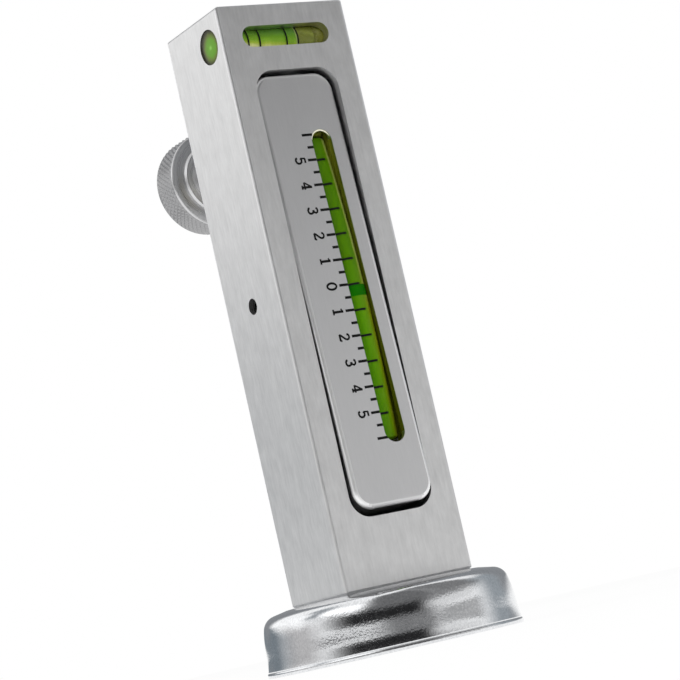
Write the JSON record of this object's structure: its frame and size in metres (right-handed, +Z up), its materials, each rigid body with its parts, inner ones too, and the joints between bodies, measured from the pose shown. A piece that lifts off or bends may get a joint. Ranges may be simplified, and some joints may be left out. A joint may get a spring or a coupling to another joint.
{
  "type": "camber gauge",
  "caption": "Upright aluminium gauge on a round magnet, with a tilting plate that carries a long spirit vial and a scale, a cross vial above it and a thumb screw behind.",
  "frame": {"origin": "centre of the magnet's flat face, on which the gauge stands", "axes": "+Z up along the bar, -Y the front with the scale, -X the side with the round window, +Y the thumb screw's side"},
  "size_m": [0.0652, 0.0786, 0.1649],
  "materials": {
    "bar_aluminium": "brushed lengthways",
    "rocker_aluminium": "satin",
    "knob_aluminium": "turned and knurled",
    "black_steel": "black oxide",
    "clear_vial": "clear",
    "spirit": "green liquid",
    "vial_plug": "matt",
    "plated_steel": "zinc plated",
    "brass": "turned",
    "plated_cup": "drawn and plated",
    "ferrite": "ground",
    "resin": "cast"
  },
  "bodies": {
    "bar": {"body_bar": "bar_aluminium", "pivot_screw_left": "black_steel", "pivot_screw_right": "black_steel", "level_vial_tube": "clear_vial", "level_vial_liquid": "spirit", "level_vial_plug": "vial_plug", "adjuster_bush": "brass", "rocker_spring": "plated_steel", "magnet_cup": "plated_cup", "magnet_disc": "ferrite", "backing_plate": "plated_steel", "spacer_ring": "resin", "magnet_stem": "plated_steel"},
    "rocker": {"rocker": "rocker_aluminium", "rocker_cap": "rocker_aluminium", "camber_vial_tube": "clear_vial", "camber_vial_liquid": "spirit", "camber_vial_plug": "vial_plug"},
    "pad": {"thrust_pad": "brass"},
    "adjuster": {"adjuster_knob": "knob_aluminium", "adjuster_stud": "plated_steel"}
  },
  "joints": [
    {"name": "screw_travel", "type": "slide", "parent": "bar", "child": "pad", "axis": [0, -1, 0], "range_m": [-0.00103, 0.00412]},
    {"name": "knob_turn", "type": "hinge", "parent": "pad", "child": "adjuster", "pos_m": [0, 0.0412, 0.133], "axis": [0, -1, 0], "range_deg": [-370, 1480]},
    {"name": "rocker_tilt", "type": "hinge", "parent": "bar", "child": "rocker", "pos_m": [0, 0, 0.0909], "axis": [1, 0, 0], "range_deg": [-1.4, 5.6], "deforming": ["rocker_spring"]}
  ],
  "couplings": [
    {"joint": "screw_travel", "follows": "knob_turn", "m_per_rad": 0.00015915},
    {"joint": "rocker_tilt", "follows": "knob_turn", "ratio": 0.0037804}
  ]
}
